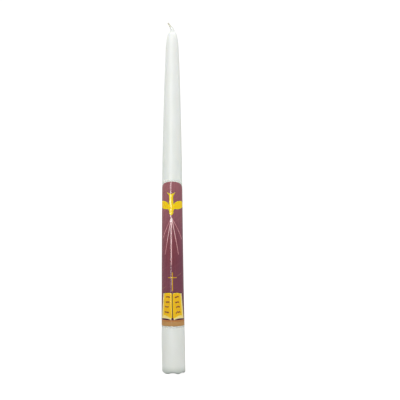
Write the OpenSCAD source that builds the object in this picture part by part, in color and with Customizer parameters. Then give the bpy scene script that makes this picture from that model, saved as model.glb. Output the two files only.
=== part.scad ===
// Ceremonial unity taper candle with a wrapped, arched transfer.
// Millimetres. +Z runs up the candle, the origin is the centre of the base, and the middle of the
// transfer faces -Y.

/* [Wax body] */
// Height of the wax, base to tip, without the wick
candle_h = 304.8; // [290:0.1:330]
// Diameter of the straight butt that stands in a holder's socket
base_d = 21; // [19:0.1:22]
// Height at which the straight butt ends
butt_h = 32; // [20:1:34]
// Radius of the melted edge around the base
base_edge = 2; // [1:0.1:2.5]
// Thickness of the dipped outer coat
coat_t = 0.9; // [0.6:0.1:1.4]
// Diameter of the wax at the foot of the transfer
label_foot_d = 20.5; // [19:0.1:20.8]
// Diameter of the wax at the crown of the transfer
label_crown_d = 17.8; // [16.8:0.1:18.4]
// Diameter where the tip starts to round over
shoulder_d = 11.6; // [10:0.1:13]
// Height of the rounded tip
tip_h = 14.8; // [10:0.2:20]

/* [Wick] */
// Radius of the channel that the wick fills
wick_channel = 1.25; // [1.25:0.01:1.4]
// Half-thickness of one wick strand
strand_r = 0.37; // [0.3:0.01:0.38]
// Length of wick over which the plait repeats
plait_pitch = 12; // [11:0.5:14]
// Sideways reach of a strand in the plait
plait_reach = 0.8; // [0.76:0.01:0.82]
// Radius of the bend where the wick leaves the wax
bend_r = 8; // [5:0.1:12]
// Lean of the free wick from upright, in degrees
wick_lean = 30; // [10:1:40]
// Straight length of wick above the bend
wick_free = 4.7; // [4:0.1:12]
// Outer radius of the wax that clings to the foot of the wick
sleeve_r = 1.75; // [1.55:0.05:2]

/* [Transfer] */
// Height of the foot of the printed panel above the base
panel_z = 43.4; // [40:0.2:50]
// Width of the printed panel, measured around the wax
panel_w = 33.5; // [32:0.1:35]
// Height of the printed panel at the crown of its arch
panel_h = 129.2; // [128:0.2:133]
// Height of the arch
arch_h = 16; // [12:0.1:17]
// Clear border of the carrier film around the print
film_border = 1.5; // [0.5:0.1:2]
// Thickness of the clear carrier film
film_t = 0.1; // [0.08:0.01:0.14]
// Thickness of one printed layer
ink_t = 0.08; // [0.07:0.01:0.1]

/* [Hidden] */

base_r = base_d / 2;
reach = base_r + 10;

// The straight taper under the transfer runs a little past it at both ends.
taper_z0 = panel_z - film_border - 1.1;
taper_z1 = panel_z + panel_h + film_border + 1.7;
shoulder_z = candle_h - tip_h;
shoulder_r = shoulder_d / 2;
core_top = candle_h - 2.4;

// Above the transfer the taper steepens smoothly towards the shoulder.
upper_slope = 0.0095;
upper_power = 1.6;
upper_drop = (label_crown_d / 2 - shoulder_r - upper_slope * (shoulder_z - taper_z1))
    / pow(shoulder_z - taper_z1, upper_power);
upper_steps = 9;

// The blunt tip: a superellipse from the shoulder to the neck around the wick.
tip_power = 1.2;
tip_root = 3;
tip_steps = 8;
edge_steps = 6;

function mix(a, b, t) = a + (b - a) * t;
function taper_r(z) = mix(label_foot_d, label_crown_d, (z - taper_z0) / (taper_z1 - taper_z0)) / 2;
function upper_r(z) = label_crown_d / 2 - upper_slope * (z - taper_z1)
    - upper_drop * pow(z - taper_z1, upper_power);
function tip_share(t) = pow(max(0, 1 - pow(t, tip_power)), 1 / tip_root);

// Half-section of the wax, from the flat of the base up to just under the top, moved in by inset.
function wax_profile(inset, top, neck) = [
    for (i = [0:edge_steps])
        let (a = 90 * i / edge_steps)
        [base_r - base_edge - inset + base_edge * sin(a), base_edge * (1 - cos(a))],
    [base_r - inset, butt_h],
    [taper_r(taper_z0) - inset, taper_z0],
    for (i = [0:upper_steps])
        let (z = mix(taper_z1, shoulder_z, i / upper_steps))
        [upper_r(z) - inset, z],
    for (i = [1:tip_steps - 1])
        let (t = sin(90 * i / tip_steps))
        [mix(neck, shoulder_r - inset, tip_share(t)), mix(shoulder_z, top, t)],
];
core_profile = wax_profile(coat_t, core_top, wick_channel);
coat_profile = wax_profile(0, candle_h, sleeve_r);

function reversed(list) = [for (i = [len(list) - 1:-1:0]) list[i]];

module wax_core() {
    color("ivory")
        rotate_extrude($fn = 96)
            polygon(concat([[wick_channel, 0]], core_profile, [[wick_channel, core_top]]));
}

module overdip_coat() {
    color("ghostwhite")
        rotate_extrude($fn = 96)
            polygon(concat(
                coat_profile,
                [[sleeve_r, candle_h], [wick_channel, candle_h], [wick_channel, core_top]],
                reversed(core_profile)
            ));
}

// The wick runs straight up the channel, bends towards -X at the top of the wax and ends straight.
bend_len = bend_r * wick_lean * PI / 180;
wick_len = candle_h + bend_len + wick_free;
rings_per_pitch = 12;
strand_rings = round(wick_len * rings_per_pitch / plait_pitch);
strand_sides = 6;
plait_depth = 0.5;

function lean_at(s) = min(max(s - candle_h, 0), bend_len) / bend_len * wick_lean;
function wick_point(s) =
    let (
        a = lean_at(s),
        past = max(s - candle_h - bend_len, 0)
    )
    [
        -bend_r * (1 - cos(a)) - past * sin(a),
        0,
        min(s, candle_h) + bend_r * sin(a) + past * cos(a),
    ];
function across_wick(s) = [cos(lean_at(s)), 0, sin(lean_at(s))];

// One ring of a strand: a small polygon around the strand's own place in the plait.
function strand_ring(s, phase) =
    let (
        turn = 360 * s / plait_pitch + phase,
        x = plait_reach * sin(turn),
        y = plait_depth * sin(2 * turn)
    )
    [
        for (k = [0:strand_sides - 1])
            let (a = 360 * k / strand_sides)
            wick_point(s) + across_wick(s) * (x + strand_r * cos(a)) + [0, y + strand_r * sin(a), 0]
    ];

module wick_strand(phase) {
    rings = [for (i = [0:strand_rings]) strand_ring(wick_len * i / strand_rings, phase)];
    last = strand_rings * strand_sides;
    color("antiquewhite")
        polyhedron(
            points = [for (ring = rings) each ring],
            faces = [
                [for (k = [0:strand_sides - 1]) k],
                for (i = [0:strand_rings - 1], k = [0:strand_sides - 1])
                    let (
                        low = i * strand_sides,
                        high = low + strand_sides,
                        next = (k + 1) % strand_sides
                    )
                    [low + k, high + k, high + next, low + next],
                [for (k = [strand_sides - 1:-1:0]) last + k],
            ]
        );
}

module wick_strand_a() wick_strand(0);
module wick_strand_b() wick_strand(120);
module wick_strand_c() wick_strand(240);

// Wax clings to the wick as far as the end of its bend.
module wick_wax_sleeve() {
    color("ghostwhite")
        translate([-bend_r, 0, candle_h])
            rotate([90, 0, 0])
                rotate_extrude(angle = wick_lean, $fn = 96)
                    translate([bend_r, 0])
                        difference() {
                            circle(r = sleeve_r, $fn = 48);
                            circle(r = wick_channel, $fn = 48);
                        }
}

// Heights of the printed layers above the wax: each lies on the one before it.
ground_level = film_t;
motif_level = ground_level + ink_t;
page_edge_level = motif_level + ink_t;
page_level = page_edge_level + ink_t;
script_level = page_level + ink_t;

// A thin skin that follows the taper, from one height above the wax to another.
module skin(level, thickness) {
    difference() {
        translate([0, 0, taper_z0])
            cylinder(
                h = taper_z1 - taper_z0,
                r1 = taper_r(taper_z0) + level + thickness,
                r2 = taper_r(taper_z1) + level + thickness,
                $fn = 96
            );
        translate([0, 0, taper_z0 - 1])
            cylinder(
                h = taper_z1 - taper_z0 + 2,
                r1 = taper_r(taper_z0 - 1) + level,
                r2 = taper_r(taper_z1 + 1) + level,
                $fn = 96
            );
    }
}

// Outlines on the flat panel are [across, up] from the middle of its foot.
function wax_r(up) = taper_r(panel_z + up);
function around_deg(across, up) = across / wax_r(up) * 180 / PI;

// A piece of a layer, cut by an outline pressed on from one direction around the candle.
module pressed(outline, level, facing = 0) {
    intersection() {
        skin(level, ink_t);
        rotate([0, 0, facing])
            rotate([90, 0, 0])
                linear_extrude(height = reach)
                    polygon([
                        for (p = outline)
                            [wax_r(p.y) * sin(around_deg(p.x, p.y) - facing), panel_z + p.y]
                    ]);
    }
}

// A piece as wide on the left as on the right, cut from the side by its edge: one cut shapes both.
// Past its last point the cut goes on outwards, and climbs by rise on the way.
module wrapped(edge, level, thickness, rise = 0) {
    foot = edge[0].y;
    top = edge[len(edge) - 1].y;
    intersection() {
        skin(level, thickness);
        rotate([90, 0, 90])
            linear_extrude(height = 2 * reach, center = true)
                polygon(concat(
                    [[-reach, panel_z + foot]],
                    [for (p = edge) [-wax_r(p.y) * cos(around_deg(p.x, p.y)), panel_z + p.y]],
                    [[-reach, panel_z + top + rise]]
                ));
    }
}

side_steps = 4;
arch_steps = 12;

// Radius of the arc that spans an arch.
function arc_r(half_w, rise) = (half_w * half_w + rise * rise) / (2 * rise);

// The right-hand edge of an arched panel, from its foot up to its crown.
function arched_edge(half_w, foot, crown, rise) =
    let (
        r = arc_r(half_w, rise),
        sweep = asin(half_w / r)
    )
    [
        for (i = [0:side_steps - 1]) [half_w, mix(foot, crown - rise, i / side_steps)],
        for (i = [arch_steps:-1:0])
            let (a = sweep * i / arch_steps)
            [r * sin(a), crown - r + r * cos(a)],
    ];

// An arched layer. Seen from the side, its cut climbs beyond the crown as steeply as at the crown.
module arched(border, level, thickness) {
    half_w = panel_w / 2 + border;
    crown = panel_h + border;
    rise = arch_h + border;
    climb = wax_r(crown) / arc_r(half_w, rise);
    wrapped(
        arched_edge(half_w, -border, crown, rise), level, thickness, climb * (reach - wax_r(crown))
    );
}

module decal_carrier_film() {
    color([0.93, 0.93, 0.9, 0.5]) arched(film_border, 0, film_t);
}

module ground_print() {
    color([0.5, 0.3, 0.36]) arched(0, ground_level, ink_t);
}

// Points of a smooth curve from a to b that leans towards its handle.
function curve(a, handle, b, steps = 6) = [
    for (i = [0:steps])
        let (t = i / steps)
        a * (1 - t) * (1 - t) + handle * 2 * t * (1 - t) + b * t * t
];
function sided(side, points) = [for (p = points) [side * p.x, p.y]];
function shifted(points, across) = [for (p = points) [p.x + across, p.y]];

// Paler streaks of light that cross the ground: [across, up, length].
streaks = [[-9.5, 33.5, 12], [6.8, 46.1, 7], [-9.5, 118.5, 9], [9.5, 93, 7]];
streak_w = 0.7;
streak_slope = 30;

module light_streaks_print() {
    along = [cos(streak_slope), sin(streak_slope)];
    aside = [-sin(streak_slope), cos(streak_slope)] * streak_w / 2;
    color([0.62, 0.44, 0.38])
        for (s = streaks) {
            middle = [s.x, s.y];
            end = along * s[2] / 2;
            pressed(
                [middle - end, middle + aside, middle + end, middle - aside],
                motif_level,
                around_deg(s.x, s.y)
            );
        }
}

// The dove hangs head down with its wings spread around the candle, a little left of the middle.
dove_across = -0.6;
wing_facing = 57;
wing_root = 1.5;

module dove_print() {
    tail_up = 119.8;
    wing_up = 104.6;
    beak_up = 99.1;
    body = concat(
        [[0, tail_up - 1.7], [3.8, tail_up], [1.7, 114.3]],
        curve([1.7, 114.3], [2.6, 107.8], [1.5, 102.3]),
        curve([1.5, 102.3], [2, 100.7], [0, beak_up]),
        curve([0, beak_up], [-2, 100.7], [-1.5, 102.3]),
        curve([-1.5, 102.3], [-2.6, 107.8], [-1.7, 114.3]),
        [[-3.8, tail_up]]
    );
    wing = concat(
        curve([wing_root, wing_up + 3.6], [9.6, wing_up + 11], [14, wing_up + 0.6]),
        curve([14, wing_up + 0.6], [8, wing_up - 0.6], [wing_root, wing_up])
    );
    color([0.9, 0.74, 0.16]) {
        pressed(shifted(body, dove_across), motif_level);
        for (side = [-1, 1])
            pressed(shifted(sided(side, wing), dove_across), motif_level, side * wing_facing);
    }
}

// Rays of light fall from a solid diamond under the beak: [across, up] of each ray's far end.
ray_source = [-0.3, 98];
ray_ends = [[-9.7, 78], [-6.6, 64], [-0.4, 54.9], [6.1, 64], [10.4, 77.2]];
ray_w = 0.75;
diamond_w = 2.4;
diamond_h = 4.4;

module rays_print() {
    diamond = [
        ray_source,
        ray_source + [diamond_w / 2, -diamond_h * 0.6],
        ray_source - [0, diamond_h],
        ray_source + [-diamond_w / 2, -diamond_h * 0.6],
    ];
    color([0.96, 0.9, 0.92]) {
        pressed(diamond, motif_level);
        for (end = ray_ends) {
            along = (end - ray_source) / norm(end - ray_source);
            aside = [-along.y, along.x] * ray_w / 2;
            pressed(
                [ray_source, end - aside, end + aside],
                motif_level,
                around_deg(end.x, end.y) / 2
            );
        }
    }
}

cross_foot = 31.8;
cross_h = 16.5;
cross_arm_up = 43.6;
cross_arm = 3.9;
cross_w = 0.8;
cross_across = 0.2;

module cross_print() {
    half = cross_w / 2;
    color([0.78, 0.61, 0.24])
        pressed(
            shifted(
                [
                    [-half, cross_foot], [half, cross_foot],
                    [half, cross_arm_up - half], [cross_arm, cross_arm_up - half],
                    [cross_arm, cross_arm_up + half], [half, cross_arm_up + half],
                    [half, cross_foot + cross_h], [-half, cross_foot + cross_h],
                    [-half, cross_arm_up + half], [-cross_arm, cross_arm_up + half],
                    [-cross_arm, cross_arm_up - half], [-half, cross_arm_up - half],
                ],
                cross_across
            ),
            motif_level
        );
}

// The open book stands on the table. Every outline of a page is drawn for the right-hand page.
band_h = 3.9;
line_h = 1.6;
book_foot = band_h + line_h;
book_top = 29.9;
book_foot_w = 26.4;
book_top_w = 19.6;
page_facing = 38;
gutter = 0.35;

module book_cover_print() {
    edge = [
        for (i = [0:side_steps])
            let (t = i / side_steps)
            [mix(book_foot_w, book_top_w, t) / 2, mix(book_foot, book_top, t)]
    ];
    color([0.24, 0.12, 0.2]) wrapped(edge, motif_level, ink_t);
}

module page_edge(side) {
    outline = concat(
        curve([1, 6.6], [2, 5.6], [4.6, 6.9]),
        curve([4.6, 6.9], [8.4, 7.7], [12.2, 6.7]),
        [[9.2, 29]],
        curve([7.8, 28.7], [3.4, 29.6], [1.2, 27.6])
    );
    color([0.95, 0.9, 0.72])
        pressed(sided(side, outline), page_edge_level, side * page_facing);
}

module page_edge_left_print() page_edge(-1);
module page_edge_right_print() page_edge(1);

module page(side) {
    outline = concat(
        [[gutter, 7.6]],
        curve([1.6, 7.4], [5, 9.9], [9.7, 9.1]),
        curve([7.9, 28.9], [4, 30.4], [gutter, 29.3])
    );
    color([0.86, 0.7, 0.26])
        pressed(sided(side, outline), page_level, side * page_facing);
}

module page_left_print() page(-1);
module page_right_print() page(1);

// Each line of writing is one wavy stroke: [inner end, outer end, up].
strokes = [[2.1, 5.9, 26.1], [2.5, 6.2, 21.6], [3.2, 7, 17.3], [3, 7.7, 12.5]];
stroke_w = 0.35;
stroke_wave = 0.4;
stroke_period = 1.3;
stroke_steps = 16;

module script_marks_print() {
    color([0.56, 0.34, 0.2])
        for (side = [-1, 1], s = strokes) {
            line = [
                for (i = [0:stroke_steps])
                    let (x = mix(s[0], s[1], i / stroke_steps))
                    [side * x, s[2] + stroke_wave * sin(360 * (x - s[0]) / stroke_period)]
            ];
            pressed(
                concat(
                    [for (p = line) p + [0, stroke_w / 2]],
                    reversed([for (p = line) p - [0, stroke_w / 2]])
                ),
                script_level,
                side * page_facing
            );
        }
}

module table_layer(foot, height) {
    wrapped([[panel_w / 2, foot], [panel_w / 2, foot + height]], motif_level, ink_t);
}

module table_line_print() {
    color([0.76, 0.58, 0.3]) table_layer(band_h, line_h);
}

module table_band_print() {
    color([0.66, 0.54, 0.44]) table_layer(0, band_h);
}

wax_core();
overdip_coat();
wick_strand_a();
wick_strand_b();
wick_strand_c();
wick_wax_sleeve();
decal_carrier_film();
ground_print();
light_streaks_print();
dove_print();
rays_print();
cross_print();
book_cover_print();
page_edge_left_print();
page_edge_right_print();
page_left_print();
page_right_print();
script_marks_print();
table_line_print();
table_band_print();
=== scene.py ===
"""Looks of the ceremonial unity taper candle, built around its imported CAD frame.

Lengths are in metres, in the CAD frame, except where a name ends in _mm: the printed panel and the wick
are laid out in millimetres and scaled once, where their points are made.
"""
import math
import random

import bpy
import numpy as np
from mathutils import Matrix, Vector
from mathutils import noise as simplex
from mathutils.geometry import delaunay_2d_cdt


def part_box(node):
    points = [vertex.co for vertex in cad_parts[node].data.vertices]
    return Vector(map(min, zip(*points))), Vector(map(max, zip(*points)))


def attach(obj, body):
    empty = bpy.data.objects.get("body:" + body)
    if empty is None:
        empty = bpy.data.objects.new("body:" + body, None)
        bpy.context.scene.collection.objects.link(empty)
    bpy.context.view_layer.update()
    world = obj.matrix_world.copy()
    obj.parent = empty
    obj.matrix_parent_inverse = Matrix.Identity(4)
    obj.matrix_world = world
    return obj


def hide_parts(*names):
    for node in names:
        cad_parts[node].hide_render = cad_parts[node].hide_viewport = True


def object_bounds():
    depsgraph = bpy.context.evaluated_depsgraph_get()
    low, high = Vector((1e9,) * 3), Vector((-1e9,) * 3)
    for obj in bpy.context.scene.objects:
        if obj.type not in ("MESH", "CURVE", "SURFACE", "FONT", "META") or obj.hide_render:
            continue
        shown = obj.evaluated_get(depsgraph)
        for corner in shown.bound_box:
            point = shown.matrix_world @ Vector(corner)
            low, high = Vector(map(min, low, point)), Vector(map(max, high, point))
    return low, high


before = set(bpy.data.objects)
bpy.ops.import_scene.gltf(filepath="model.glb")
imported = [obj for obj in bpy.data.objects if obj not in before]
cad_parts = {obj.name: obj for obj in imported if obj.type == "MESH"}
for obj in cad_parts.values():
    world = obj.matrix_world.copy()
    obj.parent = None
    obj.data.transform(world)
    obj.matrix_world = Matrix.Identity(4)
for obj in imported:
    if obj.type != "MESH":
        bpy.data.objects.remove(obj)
CAD_BOX = [[float(c) for c in corner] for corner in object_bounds()]

MM = 0.001
SEED = 12
BODY = "root"


# ---------------------------------------------------------------- camera and studio

def look_from(azimuth, elevation):
    """Unit vector from the candle to a viewpoint: azimuth 0 is in front, at -Y."""
    a, e = math.radians(azimuth), math.radians(elevation)
    return Vector((math.sin(a) * math.cos(e), -math.cos(a) * math.cos(e), math.sin(e)))


CAMERA_AZIMUTH = 2.5
CAMERA_ELEVATION = 6.5
CAMERA_ROLL = -0.27
CAMERA_DISTANCE = 3.5
CAMERA_LENS = 355
CAMERA_SHIFT = (0.0674, 0.0)
CAMERA_AIM = (0.0, 0.0, 0.15525)


def make_camera():
    data = bpy.data.cameras.new("camera")
    data.lens = CAMERA_LENS
    data.shift_x, data.shift_y = CAMERA_SHIFT
    data.clip_end = 50
    camera = bpy.data.objects.new("camera", data)
    bpy.context.scene.collection.objects.link(camera)
    aim = Vector(CAMERA_AIM)
    camera.location = aim + look_from(CAMERA_AZIMUTH, CAMERA_ELEVATION) * CAMERA_DISTANCE
    facing = (aim - camera.location).to_track_quat("-Z", "Y").to_matrix().to_4x4()
    roll = Matrix.Rotation(math.radians(CAMERA_ROLL), 4, "Z")
    camera.matrix_world = Matrix.Translation(camera.location) @ facing @ roll
    bpy.context.scene.camera = camera


def area_light(name, azimuth, elevation, distance, size, radiance, aim_z):
    """A rectangular softbox that faces the candle's axis; size is its width and height, in metres."""
    data = bpy.data.lights.new(name, "AREA")
    data.shape = "RECTANGLE"
    data.size, data.size_y = size
    data.energy = radiance * size[0] * size[1] * math.pi
    light = bpy.data.objects.new(name, data)
    bpy.context.scene.collection.objects.link(light)
    aim = Vector((0, 0, aim_z))
    light.location = aim + look_from(azimuth, elevation) * distance
    light.rotation_euler = (aim - light.location).to_track_quat("-Z", "Y").to_euler()
    light.visible_camera = False
    return light


# Softboxes: name, azimuth, elevation and radiance.
SOFTBOXES = [
    ("key", 0, 30, 3.7),
    ("fill_right", 68, 36, 2.0),
    ("fill_left", -66, 36, 1.9),
    ("fill_back", 186, 40, 2.0),
]
SOFTBOX_SIZE = (0.9, 0.6)
SOFTBOX_DISTANCE = 1.5
SOFTBOX_AIM_Z = 0.16

# Upright strips that only show as a streak in the gloss of the print: name, height of the foot, height,
# distance and radiance.
STRIPS = [("strip", 0.0, 0.7, 0.68, 17.0), ("strip_high", 0.05, 0.3, 0.72, 17.0)]
STRIP_AZIMUTH = -14.0
STRIP_W = 0.095

# The surroundings, by height: 0 is straight down and 1 straight up.
SKY = [(0.3, (0.4, 0.4, 0.39)), (0.5, (0.6, 0.6, 0.585)), (0.8, (0.75, 0.75, 0.73))]


def make_studio():
    world = bpy.data.worlds.new("studio")
    world.use_nodes = True
    tree = world.node_tree
    sky = tree.nodes["Background"]
    coords = tree.nodes.new("ShaderNodeTexCoord")
    split = tree.nodes.new("ShaderNodeSeparateXYZ")
    tree.links.new(coords.outputs["Generated"], split.inputs["Vector"])
    level = math_node(tree, "MULTIPLY_ADD", split.outputs["Z"], 0.5, 0.5)
    tree.links.new(ramp(tree, level, SKY), sky.inputs["Color"])
    bpy.context.scene.world = world
    bpy.context.scene.view_settings.view_transform = "Standard"

    for name, azimuth, elevation, radiance in SOFTBOXES:
        area_light(name, azimuth, elevation, SOFTBOX_DISTANCE, SOFTBOX_SIZE, radiance, SOFTBOX_AIM_Z)
    for name, foot, height, distance, radiance in STRIPS:
        strip = area_light(
            name, STRIP_AZIMUTH, 0, distance, (STRIP_W, height), radiance, foot + height / 2
        )
        strip.visible_diffuse = False


FLOOR_REACH = 12.0
FLOOR_GREYS = (0.3, 0.34)
FLOOR_GLOW = 0.82


def make_floor():
    """A pale sweep that glows a little, like a light table, so that it stays even to the horizon."""
    mesh = bpy.data.meshes.new("floor")
    half = FLOOR_REACH
    corners = [(-half, -half), (half, -half), (half, half), (-half, half)]
    mesh.from_pydata([(x, y, 0) for x, y in corners], [], [(0, 1, 2, 3)])
    floor = bpy.data.objects.new("floor", mesh)
    bpy.context.scene.collection.objects.link(floor)
    material, tree, shader = new_material("floor_paper")
    coords = tree.nodes.new("ShaderNodeTexCoord")
    grain = noise_node(tree, coords.outputs["Object"], 3.0, 3)
    dark, light = FLOOR_GREYS
    tree.links.new(
        ramp(tree, grain.outputs["Fac"], [(0.3, (dark, dark, dark)), (0.7, (light, light, light))]),
        shader.inputs["Base Color"],
    )
    set_inputs(
        shader,
        roughness=0.9,
        specular_ior_level=0.1,
        emission_color=(1, 1, 1, 1),
        emission_strength=FLOOR_GLOW,
    )
    mesh.materials.append(material)
    floor.visible_diffuse = False
    floor.visible_glossy = False


# ---------------------------------------------------------------- material helpers

def srgb(r, g, b):
    """A colour given as 0 to 255, in the linear values that shaders take."""
    return tuple(
        c / 255 / 12.92 if c / 255 <= 0.04045 else ((c / 255 + 0.055) / 1.055) ** 2.4
        for c in (r, g, b)
    )


def new_material(name):
    material = bpy.data.materials.new(name)
    material.use_nodes = True
    tree = material.node_tree
    return material, tree, tree.nodes["Principled BSDF"]


def set_inputs(shader, **values):
    """Constants on the shader's own sockets: subsurface_weight=0.5 sets Subsurface Weight."""
    sockets = {s.name.lower().replace(" ", "_"): s for s in shader.inputs}
    for name, value in values.items():
        sockets[name].default_value = value


def object_coords(tree, scale=(1, 1, 1), turn=(0, 0, 0)):
    coords = tree.nodes.new("ShaderNodeTexCoord")
    mapping = tree.nodes.new("ShaderNodeMapping")
    mapping.inputs["Scale"].default_value = scale
    mapping.inputs["Rotation"].default_value = turn
    tree.links.new(coords.outputs["Object"], mapping.inputs["Vector"])
    return mapping.outputs["Vector"]


def panel_coords(tree, scale=(1, 1, 1), degrees=0.0):
    """Flat coordinates of the printed panel, in millimetres, turned and then scaled."""
    flat = tree.nodes.new("ShaderNodeAttribute")
    flat.attribute_name = "panel"
    turned = tree.nodes.new("ShaderNodeVectorRotate")
    turned.rotation_type = "Z_AXIS"
    turned.inputs["Angle"].default_value = math.radians(degrees)
    scaled = tree.nodes.new("ShaderNodeVectorMath")
    scaled.operation = "MULTIPLY"
    scaled.inputs[1].default_value = scale
    tree.links.new(flat.outputs["Vector"], turned.inputs["Vector"])
    tree.links.new(turned.outputs["Vector"], scaled.inputs[0])
    return scaled.outputs["Vector"]


def noise_node(tree, vector, scale, detail=2.0, roughness=0.5):
    node = tree.nodes.new("ShaderNodeTexNoise")
    node.inputs["Scale"].default_value = scale
    node.inputs["Detail"].default_value = detail
    node.inputs["Roughness"].default_value = roughness
    tree.links.new(vector, node.inputs["Vector"])
    return node


def math_node(tree, operation, *values):
    node = tree.nodes.new("ShaderNodeMath")
    node.operation = operation
    for socket, value in zip(node.inputs, values):
        if isinstance(value, (int, float)):
            socket.default_value = value
        else:
            tree.links.new(value, socket)
    return node.outputs[0]


def ramp(tree, factor, stops):
    """A colour ramp, from a list of (position, colour)."""
    node = tree.nodes.new("ShaderNodeValToRGB")
    elements = node.color_ramp.elements
    while len(elements) < len(stops):
        elements.new(0.5)
    for element, (position, colour) in zip(elements, stops):
        element.position = position
        element.color = (*colour, 1)
    tree.links.new(factor, node.inputs["Fac"])
    return node.outputs["Color"]


def mixed(tree, kind, factor, a, b):
    """Mixes two colours; each may be a socket or a plain colour."""
    node = tree.nodes.new("ShaderNodeMix")
    node.data_type = "RGBA"
    node.blend_type = kind
    for socket, value in ((node.inputs["Factor"], factor), (node.inputs[6], a), (node.inputs[7], b)):
        if isinstance(value, (int, float)):
            socket.default_value = value
        elif isinstance(value, tuple):
            socket.default_value = (*value, 1)
        else:
            tree.links.new(value, socket)
    return node.outputs[2]


def bump(tree, shader, height, distance, strength=1.0, after=None):
    node = tree.nodes.new("ShaderNodeBump")
    node.inputs["Strength"].default_value = strength
    node.inputs["Distance"].default_value = distance
    tree.links.new(height, node.inputs["Height"])
    if after is not None:
        tree.links.new(after.outputs["Normal"], node.inputs["Normal"])
    tree.links.new(node.outputs["Normal"], shader.inputs["Normal"])
    return node


def attribute(tree, name):
    node = tree.nodes.new("ShaderNodeAttribute")
    node.attribute_name = name
    return node.outputs["Fac"]


# ---------------------------------------------------------------- materials

# Wax colours by height, painted light: lighter towards the top and darker towards the foot, as the light
# from above falls.
WAX_TOP = srgb(250, 254, 249)
WAX_MIDDLE = srgb(244, 251, 244)
WAX_FOOT = srgb(241, 244, 239)
# Painted shade along the bottom edge of the foot, where the candle meets the table.
PAINTED_FOOT_SHADE = srgb(182, 191, 186)


# Height of the candle with its wick.
CANDLE_H = CAD_BOX[1][2]


def height_share(tree):
    """0 at the foot of the candle, 1 at its top."""
    coords = tree.nodes.new("ShaderNodeTexCoord")
    split = tree.nodes.new("ShaderNodeSeparateXYZ")
    tree.links.new(coords.outputs["Object"], split.inputs["Vector"])
    return math_node(tree, "DIVIDE", split.outputs["Z"], CANDLE_H)


def wax_material():
    """Dipped paraffin: translucent, satin, faintly mottled, with soft upright runs; its colour is painted
    lighter towards the top and darker towards the foot, with painted shade along the bottom edge.
    """
    material, tree, shader = new_material("dipped_wax")
    mottle = noise_node(tree, object_coords(tree, (1, 1, 0.35)), 160, 4)
    runs = noise_node(tree, object_coords(tree, (1, 1, 0.02)), 420, 2)
    frost = noise_node(tree, object_coords(tree), 2600, 5, 0.6)
    # Painted light by height: lighter up the candle, with painted shade at the very foot.
    share = ramp(
        tree, height_share(tree),
        [(0.0, PAINTED_FOOT_SHADE), (0.022, WAX_FOOT), (0.12, WAX_FOOT), (0.5, WAX_MIDDLE), (0.95, WAX_TOP)],
    )
    cloudy = mixed(tree, "MULTIPLY", 0.5, share, ramp(
        tree, mottle.outputs["Fac"], [(0.3, (0.93, 0.95, 0.93)), (0.65, (1, 1, 1))]
    ))
    tree.links.new(cloudy, shader.inputs["Base Color"])
    set_inputs(
        shader,
        subsurface_weight=0.45,
        subsurface_radius=(1.0, 0.95, 0.85),
        subsurface_scale=0.0012,
        ior=1.44,
        specular_ior_level=0.42,
        coat_weight=0.12,
        coat_roughness=0.32,
    )
    rough = tree.nodes.new("ShaderNodeMapRange")
    rough.inputs["To Min"].default_value = 0.4
    rough.inputs["To Max"].default_value = 0.56
    tree.links.new(frost.outputs["Fac"], rough.inputs["Value"])
    tree.links.new(rough.outputs["Result"], shader.inputs["Roughness"])
    first = bump(tree, shader, runs.outputs["Fac"], 0.00012, 0.6)
    bump(tree, shader, frost.outputs["Fac"], 0.00001, 0.5, after=first)
    return material


def cut_wax_material():
    """The trimmed foot of the core: dipping rings, knife drag and a little dust."""
    material, tree, shader = new_material("cut_wax")
    rings = tree.nodes.new("ShaderNodeTexWave")
    rings.wave_type = "RINGS"
    rings.rings_direction = "Z"
    rings.inputs["Scale"].default_value = 210
    rings.inputs["Distortion"].default_value = 1.6
    rings.inputs["Detail Scale"].default_value = 2.0
    tree.links.new(object_coords(tree), rings.inputs["Vector"])
    drag = noise_node(tree, object_coords(tree, (1, 0.06, 1), (0, 0, 0.6)), 1400, 3)
    dust = noise_node(tree, object_coords(tree), 700, 5, 0.65)
    ringed = ramp(tree, rings.outputs["Fac"], [(0.0, srgb(226, 228, 218)), (1.0, srgb(240, 243, 236))])
    dusty = mixed(tree, "MULTIPLY", 0.6, ringed, ramp(
        tree, dust.outputs["Fac"], [(0.34, (0.86, 0.85, 0.8)), (0.5, (1, 1, 1))]
    ))
    tree.links.new(dusty, shader.inputs["Base Color"])
    set_inputs(
        shader,
        roughness=0.62,
        subsurface_weight=0.4,
        subsurface_radius=(1.0, 0.9, 0.75),
        subsurface_scale=0.0024,
        specular_ior_level=0.35,
    )
    first = bump(tree, shader, drag.outputs["Fac"], 0.0001, 0.7)
    bump(tree, shader, rings.outputs["Fac"], 0.00005, 0.5, after=first)
    return material


def cotton_material(name, waxed):
    """Plaited cotton yarn: fine twisted fibres, dry and beige, or soaked and paler."""
    material, tree, shader = new_material(name)
    fibre = noise_node(tree, object_coords(tree, (1, 1, 0.25), (0.5, 0.3, 0)), 9000, 4, 0.7)
    patch = noise_node(tree, object_coords(tree), 900, 3)
    dark, light = (srgb(205, 204, 190), srgb(236, 235, 222))
    if not waxed:
        dark, light = (srgb(222, 219, 204), srgb(244, 242, 230))
    threads = ramp(tree, fibre.outputs["Fac"], [(0.3, dark), (0.7, light)])
    tinted = mixed(tree, "MULTIPLY", 0.6, threads, ramp(
        tree, patch.outputs["Fac"], [(0.3, (0.9, 0.88, 0.8)), (0.7, (1, 1, 1))]
    ))
    tree.links.new(tinted, shader.inputs["Base Color"])
    set_inputs(
        shader,
        roughness=0.55 if waxed else 0.9,
        sheen_weight=0.1 if waxed else 0.5,
        sheen_roughness=0.5,
        subsurface_weight=0.25,
        subsurface_radius=(1.0, 0.8, 0.6),
        subsurface_scale=0.0006,
    )
    bump(tree, shader, fibre.outputs["Fac"], 0.00006, 0.9)
    return material


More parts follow.
